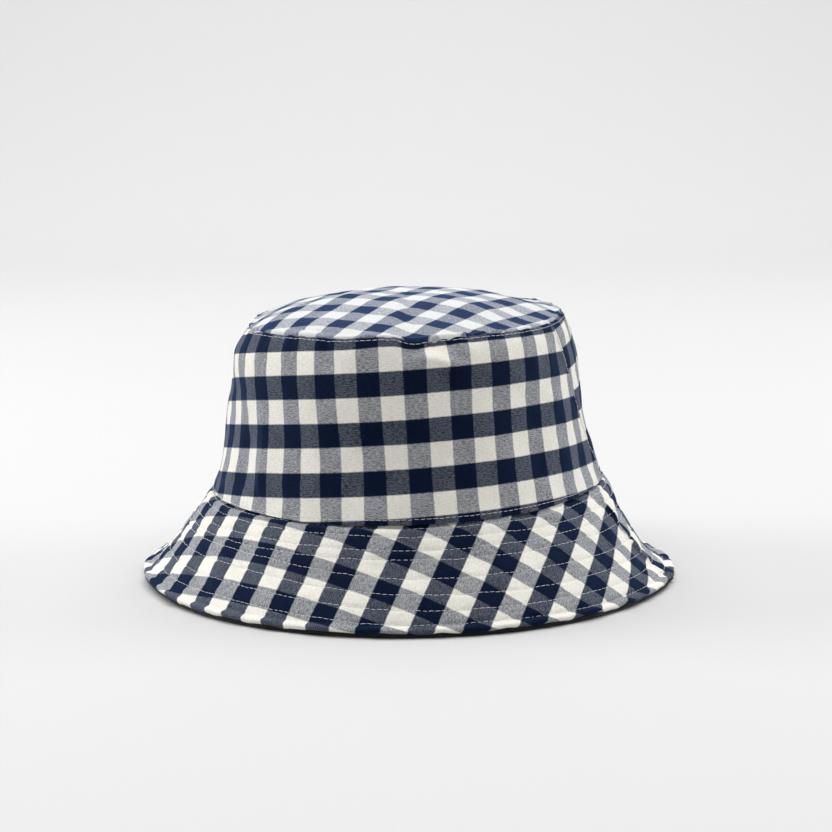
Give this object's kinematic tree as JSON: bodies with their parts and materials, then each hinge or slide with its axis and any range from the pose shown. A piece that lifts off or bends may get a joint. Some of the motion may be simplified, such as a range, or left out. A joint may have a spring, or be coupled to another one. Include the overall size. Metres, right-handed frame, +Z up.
{
  "type": "bucket hat",
  "caption": "Soft bucket hat in checked cotton: two-panel crown, domed tip, flared brim with rows of stitching, full dark lining and a sweatband.",
  "frame": {"origin": "on the table under the middle of the hat, at the plane of the brim's lower edge", "axes": "+Z up through the crown; front of the hat at -Y; the head oval is longest along Y"},
  "size_m": [0.248, 0.2624, 0.1298],
  "materials": {
    "gingham_cloth": "navy and cream yarn-dyed cotton check, matte",
    "dark_lining": "plain near-black cotton, matte",
    "interlining": "fused non-woven backing",
    "sweatband": "ribbed cotton band",
    "label": "blank woven label",
    "light_thread": "spun polyester sewing thread, pale grey",
    "dark_thread": "spun polyester sewing thread, navy"
  },
  "bodies": {
    "root": {"brim_base_topstitch": "light_thread", "brim_interlining_back": "interlining", "brim_interlining_front": "interlining", "brim_stitch_row_1": "light_thread", "brim_stitch_row_2": "light_thread", "brim_stitch_row_3": "light_thread", "brim_stitch_row_4": "light_thread", "brim_stitch_row_5": "light_thread", "brim_stitch_row_6": "light_thread", "brim_stitch_row_7": "light_thread", "brim_top_back": "gingham_cloth", "brim_top_front": "gingham_cloth", "brim_under_back": "dark_lining", "brim_under_front": "dark_lining", "crown_base_topstitch": "light_thread", "crown_interlining_back": "interlining", "crown_interlining_front": "interlining", "crown_lining_back": "dark_lining", "crown_lining_front": "dark_lining", "crown_panel_back": "gingham_cloth", "crown_panel_front": "gingham_cloth", "side_seam_topstitch_left": "light_thread", "side_seam_topstitch_right": "light_thread", "size_label": "label", "sweatband": "sweatband", "sweatband_stitch": "dark_thread", "tip_edge_topstitch": "light_thread", "tip_interlining": "interlining", "tip_lining": "dark_lining", "tip_outer": "gingham_cloth"}
  },
  "joints": []
}
